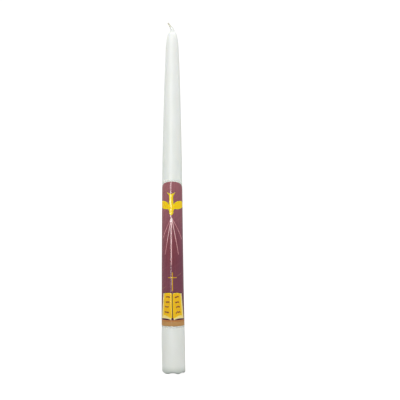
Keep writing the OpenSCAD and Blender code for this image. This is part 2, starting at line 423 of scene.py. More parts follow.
def film_material():
    """The clear film around the print: a glossy skin that shows the wax through it."""
    material, tree, shader = new_material("clear_film")
    haze = noise_node(tree, panel_coords(tree, (1, 0.3, 1)), 0.9, 3)
    edge = attribute(tree, "edge_mm")
    rim = ramp(tree, edge, [(0.0, srgb(226, 232, 222)), (0.25, srgb(240, 244, 238))])
    tinted = mixed(tree, "MULTIPLY", 0.5, rim, ramp(
        tree, haze.outputs["Fac"], [(0.3, (0.94, 0.95, 0.92)), (0.7, (1, 1, 1))]
    ))
    tree.links.new(tinted, shader.inputs["Base Color"])
    cover = tree.nodes.new("ShaderNodeMapRange")
    cover.inputs["From Max"].default_value = 0.25
    cover.inputs["To Min"].default_value = 0.6
    cover.inputs["To Max"].default_value = 0.3
    tree.links.new(edge, cover.inputs["Value"])
    tree.links.new(cover.outputs["Result"], shader.inputs["Alpha"])
    set_inputs(shader, roughness=0.16, coat_weight=0.5, coat_roughness=0.08, ior=1.47)
    bump(tree, shader, haze.outputs["Fac"], 0.00004, 0.5)
    return material


def ink_finish(tree, shader):
    """What every printed colour shares: a gloss film over wax that is not quite smooth."""
    swell = noise_node(tree, object_coords(tree, (1, 1, 0.12)), 260, 2)
    dots = noise_node(tree, object_coords(tree), 5200, 2)
    set_inputs(shader, roughness=0.16, specular_ior_level=0.24)
    first = bump(tree, shader, swell.outputs["Fac"], 0.0001, 0.5)
    bump(tree, shader, dots.outputs["Fac"], 0.000004, 0.5, after=first)
    return dots.outputs["Fac"]


GRAIN = 0.4


def speckled(tree, colour, dots, amount=GRAIN):
    """Fine grain of a four-colour print over a colour socket."""
    grain = ramp(tree, dots, [(0.3, (0.86, 0.84, 0.84)), (0.7, (1.08, 1.06, 1.06))])
    return mixed(tree, "MULTIPLY", amount, colour, grain)


# Ground colours by height: the lower maroon is the ink's own; the paler ones towards the crown are painted
# light.
GROUND_CROWN = srgb(160, 101, 108)
GROUND_UPPER = srgb(142, 88, 100)
GROUND_LOWER = srgb(122, 68, 84)

# A redder patch under the rays: its colour, the height of its middle, and its reach across and up.
GLOW = srgb(128, 58, 66)
GLOW_UP_MM = 70.0
GLOW_REACH_MM = (10.0, 30.0)


def panel_height(tree):
    """Height on the printed panel as a share of it."""
    split = tree.nodes.new("ShaderNodeSeparateXYZ")
    tree.links.new(panel_coords(tree), split.inputs["Vector"])
    return math_node(tree, "DIVIDE", split.outputs["Y"], PANEL_H_MM)


def panel_side(tree):
    """0 at the left border of the printed panel, 1 at its right border."""
    split = tree.nodes.new("ShaderNodeSeparateXYZ")
    tree.links.new(panel_coords(tree), split.inputs["Vector"])
    return math_node(tree, "MULTIPLY_ADD", split.outputs["X"], 1 / PANEL_W_MM, 0.5)


def from_glow(tree):
    """0 in the middle of the redder patch under the rays, 1 at its border and beyond."""
    apart = tree.nodes.new("ShaderNodeVectorMath")
    apart.operation = "DISTANCE"
    across, up = GLOW_REACH_MM
    apart.inputs[1].default_value = (0, GLOW_UP_MM / up, 0)
    tree.links.new(panel_coords(tree, (1 / across, 1 / up, 0)), apart.inputs[0])
    return apart.outputs["Value"]


def ground_material():
    """The dark ground of the print: maroon over wax, with slanting streaks; painted light makes it paler
    towards the crown and brighter towards its left border.
    """
    material, tree, shader = new_material("maroon_ink")
    dots = ink_finish(tree, shader)
    # Painted light: the ground grows paler towards the crown.
    base = ramp(
        tree, panel_height(tree),
        [(0.0, GROUND_LOWER), (0.45, GROUND_LOWER), (0.72, GROUND_UPPER), (0.98, GROUND_CROWN)],
    )
    slant = noise_node(tree, panel_coords(tree, (0.045, 0.9, 1), -STREAK_SLOPE), 1.0, 3)
    upright = noise_node(tree, panel_coords(tree, (0.75, 0.03, 1)), 1.0, 2)
    streaked = mixed(tree, "ADD", 1.0, base, ramp(
        tree, slant.outputs["Fac"], [(0.52, (0, 0, 0)), (0.75, (0.045, 0.026, 0.018))]
    ))
    redder = mixed(tree, "MIX", ramp(tree, from_glow(tree), [(0.3, (0.6, 0.6, 0.6)), (1.0, (0, 0, 0))]),
                   streaked, GLOW)
    # Painted light: the ground is painted brighter towards its left border and a shade darker towards its
    # right.
    lit_left = mixed(tree, "MULTIPLY", 1.0, redder, ramp(
        tree, panel_side(tree), [(0.15, (1.22, 1.26, 1.14)), (0.5, (1, 1, 1)), (0.85, (0.98, 0.98, 1.02))]
    ))
    veiled = mixed(tree, "MULTIPLY", 0.6, lit_left, ramp(
        tree, upright.outputs["Fac"], [(0.3, (0.84, 0.84, 0.86)), (0.7, (1.1, 1.08, 1.08))]
    ))
    tree.links.new(speckled(tree, veiled, dots, 0.5), shader.inputs["Base Color"])
    return material


def edged_ink(name, edge, middle, rim_mm, mottle_mm=3.0):
    """Flat colour that brightens or darkens towards the outline of its shape."""
    material, tree, shader = new_material(name)
    dots = ink_finish(tree, shader)
    distance = math_node(tree, "DIVIDE", attribute(tree, "edge_mm"), rim_mm)
    wander = noise_node(tree, panel_coords(tree), 1.0 / mottle_mm, 3)
    shifted = math_node(tree, "ADD", distance, math_node(
        tree, "MULTIPLY", math_node(tree, "SUBTRACT", wander.outputs["Fac"], 0.5), 0.8
    ))
    colour = ramp(tree, shifted, [(0.1, edge), (0.95, middle)])
    tree.links.new(speckled(tree, colour, dots), shader.inputs["Base Color"])
    return material


def wood_ink(name, dark, light):
    """Printed table top: long grain across the panel."""
    material, tree, shader = new_material(name)
    dots = ink_finish(tree, shader)
    grain = noise_node(tree, panel_coords(tree, (0.12, 2.2, 1)), 1.0, 5, 0.6)
    colour = ramp(tree, grain.outputs["Fac"], [(0.3, dark), (0.7, light)])
    tree.links.new(speckled(tree, colour, dots), shader.inputs["Base Color"])
    return material


# ---------------------------------------------------------------- the wax surface

# A vertex this far inside the widest outline of a turned node belongs to its bore.
BORE_GAP = 0.45 * MM


def outer_profile(node):
    """(heights, radii) of a turned CAD node's outer surface, read from its vertices."""
    widest = {}
    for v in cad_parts[node].data.vertices:
        z, r = round(v.co.z, 6), math.hypot(v.co.x, v.co.y)
        widest[z] = max(widest.get(z, 0), r)
    hull = []
    for z, r in sorted(widest.items()):
        while len(hull) > 1 and cross(hull[-2], hull[-1], (z, r)) >= 0:
            hull.pop()
        hull.append((z, r))
    hull_z, hull_r = zip(*hull)
    outer = [(z, r) for z, r in sorted(widest.items()) if r > np.interp(z, hull_z, hull_r) - BORE_GAP]
    heights, radii = zip(*outer)
    return np.array(heights), np.array(radii)


def cross(a, b, c):
    """Above zero where the path from a through b to c turns left."""
    return (b[0] - a[0]) * (c[1] - a[1]) - (b[1] - a[1]) * (c[0] - a[0])


def tangents(z, r):
    """Slopes of a smooth curve through a profile that never swings past its points."""
    slopes = np.diff(r) / np.diff(z)
    inner = [2 * a * b / (a + b) if a * b > 0 else 0.0 for a, b in zip(slopes, slopes[1:])]
    return np.array([slopes[0], *inner, slopes[-1]])


PROFILE_Z, PROFILE_R = outer_profile("overdip_coat")
PROFILE_SLOPE = tangents(PROFILE_Z, PROFILE_R)
CORE_Z, CORE_R = outer_profile("wax_core")
WAX_TOP_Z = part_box("overdip_coat")[1].z


def wax_r(z):
    """Radius of the wax at a height."""
    i = int(np.clip(np.searchsorted(PROFILE_Z, z) - 1, 0, len(PROFILE_Z) - 2))
    span = PROFILE_Z[i + 1] - PROFILE_Z[i]
    t = min(max((z - PROFILE_Z[i]) / span, 0.0), 1.0)
    start, end = PROFILE_R[i], PROFILE_R[i + 1]
    lean_in, lean_out = PROFILE_SLOPE[i] * span, PROFILE_SLOPE[i + 1] * span
    return float(
        start * (1 + 2 * t) * (1 - t) ** 2 + lean_in * t * (1 - t) ** 2
        + end * t * t * (3 - 2 * t) + lean_out * t * t * (t - 1)
    )


# The candle warped a little as it cooled: its axis bows to -X, most of all below the middle.
BOW_REACH = 0.74 * MM
BOW_SKEW = 0.756


def bow(z):
    """How far the axis of the candle stands to +X of a straight line, at a height."""
    share = min(max(z / WAX_TOP_Z, 0.0), 1.0)
    return -BOW_REACH * math.sin(math.pi * share ** BOW_SKEW)


def link(name, verts, faces, material, replaced=()):
    """Makes a mesh piece that rides on the candle and stands for the named CAD nodes."""
    mesh = bpy.data.meshes.new(name)
    mesh.from_pydata([tuple(v) for v in verts], [], faces)
    mesh.validate()
    mesh.polygons.foreach_set("use_smooth", [True] * len(mesh.polygons))
    mesh.materials.append(material)
    mesh.update()
    piece = bpy.data.objects.new(name, mesh)
    bpy.context.scene.collection.objects.link(piece)
    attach(piece, BODY)
    if replaced:
        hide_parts(*replaced)
    return piece


def tube_faces(rings, sides, closed_ends=True):
    """Faces of a tube of rings, each of so many points, with flat ends."""
    faces = []
    for i in range(rings - 1):
        for k in range(sides):
            n = (k + 1) % sides
            a, b = i * sides, (i + 1) * sides
            faces.append((a + k, a + n, b + n, b + k))
    if closed_ends:
        faces.append(tuple(range(sides - 1, -1, -1)))
        last = (rings - 1) * sides
        faces.append(tuple(range(last, last + sides)))
    return faces


# The foot was dipped and trimmed while soft, so its rim hangs in shallow uneven lobes: their number, and
# the angle of one that touches the table. They fade a short way up the butt, and flutes run on from
# between them. The underside is dished a little.
LOBES = 5
LOBE_ANGLE = math.radians(-42)
LOBE_DEPTH = 1.35 * MM
LOBE_REACH = 9 * MM
FLUTE_DEPTH = 0.26 * MM
FLUTE_REACH = 26 * MM
RIM_R = PROFILE_R[0]
DISH = 0.5 * MM

# Runs of wax down the tip, left by the last dip.
RUNS = 7
RUN_DEPTH = 0.1 * MM
RUN_REACH = 42 * MM
RUN_START = 5 * MM

# Slow swells left by dipping, which only ever lower the surface: their depth, and how often they change.
SWELL = 0.07 * MM
SWELL_AROUND = 2.4
SWELL_ALONG = 34.0


def between_lobes(angle):
    """0 where the rim of the foot touches the table, 1 at most between two such places."""
    wave = 0.5 - 0.5 * math.cos(LOBES * (angle - LOBE_ANGLE))
    return wave ** 0.75 * (0.78 + 0.22 * math.sin(2 * angle + 0.6))


def fading(distance, reach):
    return max(0.0, 1 - distance / reach) ** 2


def surface_r(angle, z):
    """Radius of the real, slightly uneven wax at an angle from the front and a height."""
    where = Vector((SWELL_AROUND * math.sin(angle), SWELL_AROUND * math.cos(angle), SWELL_ALONG * z))
    swell = SWELL * (0.5 + 0.5 * simplex.noise(where))
    flute = FLUTE_DEPTH * between_lobes(angle) * fading(z, FLUTE_REACH)
    down = max(WAX_TOP_Z - z, 0.0)
    run = RUN_DEPTH * (0.5 - 0.5 * math.cos(RUNS * angle + 1.3 * math.sin(angle) + 120 * z))
    run *= fading(down, RUN_REACH) * min(down / RUN_START, 1.0)
    return wax_r(z) - swell - flute - run


def on_wax(angle, z, lift=0.0):
    """A point above the wax, at an angle from the front (-Y) towards +X."""
    r = surface_r(angle, z) + lift
    return Vector((r * math.sin(angle) + bow(z), -r * math.cos(angle), z))


def ring(r, z, sides):
    """A level ring around the candle's axis."""
    return [Vector((r * math.sin(a) + bow(z), -r * math.cos(a), z)) for a in turns(sides)]


def foot_ring(r, sides):
    """A ring of the underside: lobed at the rim and dished towards the middle."""
    share = (r / RIM_R) ** 2
    points = []
    for a in turns(sides):
        z = LOBE_DEPTH * between_lobes(a) * share + DISH * max(0.0, 1 - share)
        points.append(Vector((r * math.sin(a), -r * math.cos(a), z)))
    return points


def settled(point, angle):
    """Moves a point of the side up with the lobes of the rim under it."""
    lift = LOBE_DEPTH * between_lobes(angle) * fading(point.z, LOBE_REACH)
    return point + Vector((0, 0, lift))


# ---------------------------------------------------------------- wax pieces

AROUND = 192
CORE_AROUND = 96
CORE_GAP = 0.02 * MM
CHANNEL_R = 1.25 * MM
SLEEVE_R = 1.75 * MM

# The tip rounds over into the wick's sleeve, which it meets a little below the top.
COLLAR_R = 0.85 * MM
COLLAR_DROP = 0.08 * MM
COLLAR_STEPS = 8

# Stretches of the coat that need closer rings, and how close the rings are there and between them.
EDGE_H = 2.5 * MM
TIP_H = 15 * MM
EDGE_RINGS = 0.25 * MM
SIDE_RINGS = 2.2 * MM
TIP_RINGS = 0.6 * MM
INNER_RINGS = 5 * MM
CORE_RINGS = 8 * MM
CORE_FOOT_RINGS = 16


def turns(sides):
    """Angles of the corners of a ring."""
    return [2 * math.pi * k / sides for k in range(sides)]


def core_ring(z, gap, sides):
    """A ring around the core at a height, inside its surface by a gap."""
    return ring(float(np.interp(z, CORE_Z, CORE_R)) - gap, z, sides)


def spaced(heights, gap):
    """The heights, with others added so that none are further apart than gap."""
    out = []
    for low, high in zip(heights, heights[1:]):
        count = max(1, math.ceil((high - low) / gap))
        out += [low + (high - low) * i / count for i in range(count)]
    return [*out, heights[-1]]


def looped(rings, sides):
    """Points and faces of a surface whose last ring joins its first."""
    faces = tube_faces(len(rings), sides, closed_ends=False)
    last = (len(rings) - 1) * sides
    faces += [(last + k, last + (k + 1) % sides, (k + 1) % sides, k) for k in range(sides)]
    return [p for points in rings for p in points], faces


def make_wax_coat():
    """The dipped skin: outside, collar around the wick, and the inside that lies on the core."""
    edge = [h for h in PROFILE_Z if h < EDGE_H]
    tip = [h for h in PROFILE_Z if h > WAX_TOP_Z - TIP_H]
    side = spaced([edge[-1], tip[0]], SIDE_RINGS)[1:-1]
    heights = [*spaced(edge, EDGE_RINGS), *side, *spaced(tip, TIP_RINGS)]

    rings = [foot_ring(CORE_R[0], AROUND), foot_ring((CORE_R[0] + RIM_R) / 2, AROUND)]
    for z in heights[:-1]:
        rings.append([settled(on_wax(a, z), a) for a in turns(AROUND)])
    for i in range(1, COLLAR_STEPS + 1):
        turn = math.pi / 2 * i / COLLAR_STEPS
        r = SLEEVE_R + COLLAR_R * (1 - math.sin(turn)) + CORE_GAP
        z = WAX_TOP_Z - COLLAR_DROP + COLLAR_R * (1 - math.cos(turn))
        rings.append(ring(r, z, AROUND))
    rings += [ring(SLEEVE_R, WAX_TOP_Z, AROUND), ring(CHANNEL_R, WAX_TOP_Z, AROUND)]
    inner = [z for z in spaced(CORE_Z, INNER_RINGS)[::-1] if z > LOBE_REACH / 2]
    rings += [core_ring(z, 0.0, AROUND) for z in inner]
    verts, faces = looped(rings, AROUND)
    link("wax_coat", verts, faces, wax_material(), ["overdip_coat"])


def make_core():
    """The core under the coat: only its trimmed foot shows, with the wick in the middle of it."""
    heights = [z for z in spaced(CORE_Z, CORE_RINGS) if z > LOBE_REACH / 2]
    foot_radii = np.linspace(CHANNEL_R, CORE_R[0] - CORE_GAP, CORE_FOOT_RINGS)
    rings = [foot_ring(r, CORE_AROUND) for r in foot_radii]
    rings += [core_ring(z, CORE_GAP, CORE_AROUND) for z in heights]
    bore = [z for z in heights[::-1] if z < CORE_Z[-1] - 1 * MM]
    rings += [ring(CHANNEL_R, z, CORE_AROUND) for z in bore]
    verts, faces = looped(rings, CORE_AROUND)
    link("wax_core_body", verts, faces, cut_wax_material(), ["wax_core"])


# ---------------------------------------------------------------- wick

# The free wick rises, falls over to -X and straightens: (across, up) from the top of the wax.
WICK_PATH_MM = [
    (0, -6), (0.1, -3), (0.35, 0), (0.36, 1.0), (0.08, 2.0), (-0.54, 3.0),
    (-1.3, 4.0), (-2.14, 5.2), (-2.84, 6.4), (-3.42, 7.6),
]
WICK_FOOT_Z = 0.3 * MM
BEND_START = 10 * MM
BEND_STEPS = 12

# The plait: its pitch, how far strands swing sideways and in depth, and how much it tightens out of the wax.
PLAIT_PITCH = 12 * MM
PLAIT_REACH = 0.8 * MM
PLAIT_DEPTH = 0.5 * MM
PLAIT_TIGHTER = 0.25
TIGHT_OVER = 2 * MM

# A strand: its radius, its twisted yarns, and the grooves between them.
STRAND_R = 0.37 * MM
STRAND_SIDES = 20
YARNS = 5
YARN_PITCH = 0.9 * MM
YARN_GROOVE = 0.17
HIDDEN_RINGS = 1.5 * MM
SHOWN_RINGS = 90

# How far each strand is cut short of the wick's end.
CUT_SHORT = {"a": 0.25 * MM, "b": 0.1 * MM, "c": 0.0}


def spline(points, per_span):
    """Points of a smooth curve through the given ones."""
    padded = [2 * points[0] - points[1], *points, 2 * points[-1] - points[-2]]
    out = []
    for a, b, c, d in zip(padded, padded[1:], padded[2:], padded[3:]):
        for i in range(per_span):
            t = i / per_span
            out.append(0.5 * (
                2 * b + (c - a) * t + (2 * a - 5 * b + 4 * c - d) * t * t
                + (3 * b - a - 3 * c + d) * t ** 3
            ))
    out.append(points[-1])
    return out


class WickPath:
    """Place and cross directions along the wick, by length measured up from the foot."""

    def __init__(self):
        bend = [Vector((x * MM, 0, WAX_TOP_Z + z * MM)) for x, z in WICK_PATH_MM]
        hidden = np.arange(WICK_FOOT_Z, WAX_TOP_Z - BEND_START, 6 * MM)
        line = [*[Vector((bow(z), 0, z)) for z in hidden], *spline(bend, BEND_STEPS)]
        lengths = [0.0]
        for a, b in zip(line, line[1:]):
            lengths.append(lengths[-1] + (b - a).length)
        self.lengths = np.array(lengths)
        self.points = np.array([tuple(p) for p in line])
        self.total = lengths[-1]

    def at(self, s):
        return Vector([np.interp(s, self.lengths, self.points[:, i]) for i in range(3)])

    def frame(self, s):
        """(place, direction across in XZ, direction along)."""
        step = 0.25 * MM
        along = (self.at(min(s + step, self.total)) - self.at(max(s - step, 0))).normalized()
        return self.at(s), Vector((along.z, 0, -along.x)), along


def make_wick(path):
    """Three strands of twisted yarn, plaited, from the foot of the candle to the free end."""
    dry = cotton_material("dry_cotton", waxed=False)
    shown_from = WAX_TOP_Z - 2 * MM
    hidden = np.arange(0, shown_from, HIDDEN_RINGS)
    for phase, (letter, cut_short) in enumerate(CUT_SHORT.items()):
        verts = []
        stations = [*hidden, *np.linspace(shown_from, path.total - cut_short, SHOWN_RINGS)]
        for s in stations:
            turn = 2 * math.pi * (s / PLAIT_PITCH + phase / 3)
            centre, across, _ = path.frame(s)
            tight = 1 - PLAIT_TIGHTER * min(max((s - WAX_TOP_Z) / TIGHT_OVER, 0.0), 1.0)
            out = PLAIT_REACH * tight * math.sin(turn)
            deep = PLAIT_DEPTH * tight * math.sin(2 * turn)
            for a in turns(STRAND_SIDES):
                groove = YARN_GROOVE * abs(math.sin(YARNS / 2 * (a - s / YARN_PITCH)))
                r = STRAND_R * (1 - groove)
                sideways = across * (out + r * math.cos(a))
                verts.append(centre + sideways + Vector((0, deep + r * math.sin(a), 0)))
        faces = tube_faces(len(stations), STRAND_SIDES)
        link("wick_strand_" + letter + "_yarn", verts, faces, dry, ["wick_strand_" + letter])


# The wax on the wick: its height, how much it thins, flattens and lumps on the way up, its ragged end, and
# the radius of the bore that holds the plait.
SLEEVE_H = 4.3 * MM
SLEEVE_THINS = 0.52 * MM
SLEEVE_FLAT = 0.16
SLEEVE_LUMP = 0.08 * MM
SLEEVE_LUMP_H = 1.6 * MM
SLEEVE_LUMP_AROUND = 1.1
SLEEVE_RAGGED = 0.35 * MM
SLEEVE_BORE = 1.15 * MM
SLEEVE_BORE_THINS = 0.25
SLEEVE_SIDES = 40
SLEEVE_ROWS = 26


def sleeve_ring(path, t):
    """Outer ring of the wax on the wick, at a share of its height."""
    s = WAX_TOP_Z + SLEEVE_H * t
    points = []
    for a in turns(SLEEVE_SIDES):
        c, n = math.cos(a), math.sin(a)
        lump = simplex.noise(Vector((SLEEVE_LUMP_AROUND * c, SLEEVE_LUMP_AROUND * n, s / SLEEVE_LUMP_H)))
        flat = 1 - SLEEVE_FLAT * t * abs(n)
        r = (SLEEVE_R - SLEEVE_THINS * t) * flat + SLEEVE_LUMP * lump * t
        ragged = SLEEVE_RAGGED * math.sin(3 * a + 1) * t ** 3
        place, side, _ = path.frame(s + ragged)
        points.append(place + side * (r * c) + Vector((0, r * n, 0)))
    return points


def sleeve_bore_ring(path, t):
    """Ring of the bore that holds the plait, at a share of its height."""
    centre, across, _ = path.frame(WAX_TOP_Z + SLEEVE_H * t)
    r = SLEEVE_BORE * (1 - SLEEVE_BORE_THINS * t)
    return [
        centre + across * (r * math.cos(a)) + Vector((0, r * math.sin(a), 0)) for a in turns(SLEEVE_SIDES)
    ]


def make_sleeve(path):
    """Wax that ran up the wick in dipping: thick at the neck, thin and lumpy where it ends."""
    shares = [i / SLEEVE_ROWS for i in range(SLEEVE_ROWS + 1)]
    rings = [sleeve_ring(path, t) for t in shares] + [sleeve_bore_ring(path, t) for t in shares[::-1]]
    verts, faces = looped(rings, SLEEVE_SIDES)
    link("wick_wax", verts, faces, bpy.data.materials["dipped_wax"], ["wick_wax_sleeve"])


# Loose fibres: how many stand at the cut end and how many along the dry stretch, how far that stretch is
# from the cut end, and how fine the fibres' meshes are and how much they thin.
END_FIBRES = 60
SIDE_FIBRES = 30
DRY_MM = (0.2, 3.4)
FIBRE_SIDES = 4
FIBRE_STEPS = 5
FIBRE_TAPER = 0.7


def fibre_points(start, heading, length, curl, thick):
    """Rings of a fibre that curls away from its start and thins to its tip."""
    side = heading.orthogonal().normalized()
    other = heading.cross(side)
    points = []
    for j in range(FIBRE_STEPS + 1):
        t = j / FIBRE_STEPS
        place = start + heading * (length * t) + curl * (length * t * t)
        r = thick * (1 - FIBRE_TAPER * t)
        for a in turns(FIBRE_SIDES):
            points.append(place + side * (r * math.cos(a)) + other * (r * math.sin(a)))
    return points


def make_fray(path):
    """Loose fibres at the cut end of the wick and along the dry stretch."""
    rng = random.Random(SEED)
    verts, faces = [], []
    for i in range(END_FIBRES + SIDE_FIBRES):
        at_end = i < END_FIBRES
        s = path.total - (0.1 * MM if at_end else rng.uniform(*DRY_MM) * MM)
        centre, across, along = path.frame(s)
        spin = rng.uniform(0, 2 * math.pi)
        radius = rng.uniform(0.1, 0.9) * MM if at_end else 0.95 * MM
        outward = across * math.cos(spin) + Vector((0, math.sin(spin), 0))
        start = centre + across * (radius * math.cos(spin)) + Vector((0, 0.6 * radius * math.sin(spin), 0))
        heading = (along * (1.0 if at_end else 0.5) + outward * rng.uniform(0.1, 0.8)).normalized()
        length = rng.uniform(0.35, 0.9) * MM
        curl = Vector([rng.uniform(-1, 1) for _ in range(3)]) * 0.5
        thick = rng.uniform(0.018, 0.035) * MM
        base = len(verts)
        verts += fibre_points(start, heading, length, curl, thick)
        faces += [tuple(base + n for n in f) for f in tube_faces(FIBRE_STEPS + 1, FIBRE_SIDES)]
    link("wick_fray", verts, faces, bpy.data.materials["dry_cotton"])


# ---------------------------------------------------------------- the printed panel

# The panel is laid out flat, in millimetres: across from its middle, and up from its foot.
PANEL_FOOT_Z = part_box("ground_print")[0].z
PANEL_H_MM = (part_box("ground_print")[1].z - PANEL_FOOT_Z) / MM
PANEL_W_MM = 33.5
ARCH_H_MM = 16.0
FILM_BORDER_MM = (PANEL_FOOT_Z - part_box("decal_carrier_film")[0].z) / MM
STREAK_SLOPE = 30.0

# Heights above the wax: the foot of the film, then the tops of the film, the ground, the motifs, the page
# edges, the pages and the writing.
LEVELS_MM = [0.0, 0.035, 0.06, 0.085, 0.11, 0.135, 0.155]


def curve(a, handle, b, steps=8):
    """A smooth curve from a to b that leans towards its handle, without its last point."""
    points = []
    for i in range(steps):
        t = i / steps
        points.append(tuple(
            p * (1 - t) ** 2 + h * 2 * t * (1 - t) + q * t * t for p, h, q in zip(a, handle, b)
        ))
    return points


def chain(start, *legs):
    """Joins curves: each leg is a handle and an end."""
    points = []
    for handle, end in legs:
        points += curve(start, handle, end)
        start = end
    return [*points, start]


def mirrored(half):
    """Closes a right-hand half, given from top to bottom, with its mirror image."""
    left = [(-x, y) for x, y in half[::-1] if abs(x) > 1e-6]
    return [*half, *left]


def sided(side, points):
    return [(side * x, y) for x, y in points]


def resampled(outline, step):
    """The outline with no side longer than step."""
    points = []
    for (x0, y0), (x1, y1) in zip(outline, [*outline[1:], outline[0]]):
        count = max(1, math.ceil(math.hypot(x1 - x0, y1 - y0) / step))
        points += [(x0 + (x1 - x0) * i / count, y0 + (y1 - y0) * i / count) for i in range(count)]
    return points


def distance_to(outline, points):
    """Distance of each point to the outline, in the outline's units."""
    a = np.array(outline)
    ab = np.roll(a, -1, axis=0) - a
    ap = points[:, None, :] - a[None]
    t = np.clip((ap * ab).sum(2) / np.maximum((ab * ab).sum(1), 1e-12), 0, 1)
    return np.linalg.norm(ap - ab * t[..., None], axis=2).min(axis=1)


def inside(outline, points):
    """Which points lie inside the outline."""
    a = np.array(outline)
    b = np.roll(a, -1, axis=0)
    x, y = points[:, 0, None], points[:, 1, None]
    spans = (a[:, 1] > y) != (b[:, 1] > y)
    rise = np.where(b[:, 1] == a[:, 1], 1e-12, b[:, 1] - a[:, 1])
    crossing = (b[:, 0] - a[:, 0]) * (y - a[:, 1]) / rise + a[:, 0]
    return (spans & (x < crossing)).sum(axis=1) % 2 == 1


def filled(outline, cell):
    """Triangulates an outline with points inside it about cell apart: (points, triangles, finer outline)."""
    outline = resampled(outline, cell)
    low, high = np.min(outline, axis=0), np.max(outline, axis=0)
    rows = np.arange(low[1], high[1], cell * 0.866)
    grid = [
        (x + (0.5 * cell if i % 2 else 0), y)
        for i, y in enumerate(rows) for x in np.arange(low[0], high[0], cell)
    ]
    grid = np.array(grid or [(low[0] - 1, low[1] - 1)])
    keep = inside(outline, grid)
    grid = grid[keep]
    if len(grid):
        grid = grid[distance_to(outline, grid) > 0.45 * cell]
    points = [Vector(p) for p in outline] + [Vector(p) for p in grid]
    loop = [(i, (i + 1) % len(outline)) for i in range(len(outline))]
    out = delaunay_2d_cdt(points, loop, [list(range(len(outline)))], 1, 1e-5)
    return [tuple(p) for p in out[0]], [tuple(f) for f in out[2]], outline


def wrap(across, up, lift_mm):
    z = PANEL_FOOT_Z + up * MM
    return on_wax(across * MM / wax_r(z), z, lift_mm * MM)


def printed(name, outlines, level, material, node, cell=0.5):
    """A printed layer: outlines on the flat panel, wrapped around the wax as thin closed sheets."""
    verts, faces, panel, edge = [], [], [], []
    for outline in outlines:
        flat, triangles, rim = filled(outline, cell)
        base, count = len(verts), len(flat)
        away = distance_to(rim, np.array(flat))
        for lift in (LEVELS_MM[level + 1], LEVELS_MM[level]):
            verts += [wrap(x, y, lift) for x, y in flat]
            panel += flat
            edge += list(away)
        boundary = {}
        for f in triangles:
            for pair in zip(f, [*f[1:], f[0]]):
                if boundary.pop(pair[::-1], None) is None:
                    boundary[pair] = True
        faces += [tuple(base + i for i in f) for f in triangles]
        faces += [tuple(base + count + i for i in f[::-1]) for f in triangles]
        faces += [(base + a, base + count + a, base + count + b, base + b) for a, b in boundary]
    piece = link(name, verts, faces, material, [node])
    flat_map = piece.data.attributes.new("panel", "FLOAT_VECTOR", "POINT")
    flat_map.data.foreach_set("vector", [c for p in panel for c in (*p, 0.0)])
    to_edge = piece.data.attributes.new("edge_mm", "FLOAT", "POINT")
    to_edge.data.foreach_set("value", edge)


def arch(border):
    """Outline of the panel, or of the film that runs past it by a border."""
    half = PANEL_W_MM / 2 + border
    rise = ARCH_H_MM + border
    crown = PANEL_H_MM + border
    radius = (half * half + rise * rise) / (2 * rise)
    sweep = math.asin(half / radius)
    steps = 36
    top = [
        (radius * math.sin(a), crown - radius + radius * math.cos(a))
        for a in (sweep * (1 - 2 * i / steps) for i in range(steps + 1))
    ]
    return [(half, -border), *top, (-half, -border)]


DOVE_ACROSS = -0.6


def dove_outline():
    """A dove that flies straight down with its wings and tail spread."""
    tail = chain((0, 118.2), ((1.0, 118.2), (1.5, 118.5)), ((2.6, 119.0), (3.9, 119.9)),
                 ((3.0, 118.3), (1.95, 117.1)))
    side = chain((1.95, 117.1), ((1.6, 115.6), (1.7, 114.3)), ((1.7, 112.8), (1.85, 111.6)),
                 ((1.9, 110.0), (2.3, 108.2)))
    wing = chain((2.3, 108.2), ((2.7, 110.4), (4.4, 111.1)), ((6.6, 111.9), (8.8, 111.7)),
                 ((13.6, 111.0), (14.3, 106.4)), ((12.4, 105.3), (9.7, 105.0)), ((6.6, 104.2), (4.3, 104.7)),
                 ((3.4, 104.9), (2.6, 104.8)))
    head = chain((2.6, 104.8), ((2.1, 103.4), (1.55, 102.4)), ((1.95, 101.8), (1.7, 101.0)),
                 ((1.2, 99.9), (0, 99.1)))
    half = [*tail[:-1], *side[:-1], *wing[:-1], *head]
    return [(x + DOVE_ACROSS, y) for x, y in mirrored(half)]


RAY_SOURCE = (-0.3, 98)
RAY_ENDS = [(-9.7, 78), (-6.6, 64), (-0.4, 54.9), (6.1, 64), (10.4, 77.2)]
RAY_WIDTHS = [0.8, 0.72, 0.92, 0.72, 0.8]
RAY_TIP = 0.55


def rays_outline():
    """Rays that spread from one point, each thin from the place where it parts from the next."""
    source = Vector(RAY_SOURCE)
    outline = [tuple(source)]
    headings = [(Vector(end) - source).normalized() for end in RAY_ENDS]
    for i, (end, heading) in enumerate(zip(RAY_ENDS, headings)):
        aside = Vector((-heading.y, heading.x)) * RAY_WIDTHS[i] / 2
        outline += [tuple(Vector(end) - aside * RAY_TIP), tuple(Vector(end) + aside * RAY_TIP)]
        if i + 1 < len(headings):
            between = (heading + headings[i + 1]).normalized()
            parting = heading.angle(headings[i + 1]) / 2
            reach = (RAY_WIDTHS[i] + RAY_WIDTHS[i + 1]) / 4 / math.sin(parting)
            outline.append(tuple(source + between * reach))
    return outline


CROSS_ACROSS = 0.2
CROSS_UP = 43.6
CROSS_FOOT = 31.8
CROSS_TOP = 48.3
CROSS_ARM = 3.9
CROSS_W = 0.8


def cross_outline():
    w = CROSS_W / 2
    half = [
        (w, CROSS_TOP), (w, CROSS_UP + w), (CROSS_ARM, CROSS_UP + w),
        (CROSS_ARM, CROSS_UP - w), (w, CROSS_UP - w), (w, CROSS_FOOT),
    ]
    return [(x + CROSS_ACROSS, y) for x, y in mirrored(half)]


# The table: a band, and a line of another tone over it.
BAND_TOP = 3.9
LINE_TOP = 5.5


def cover_outline():
    """The dark cover that shows around the open book."""
    half = [
        *chain((0, 29.8), ((1.2, 30.7), (3.8, 30.5)), ((6.0, 30.4), (7.7, 29.9))),
        (9.8, 29.8), (13.2, LINE_TOP),
    ]
    return mirrored(half)


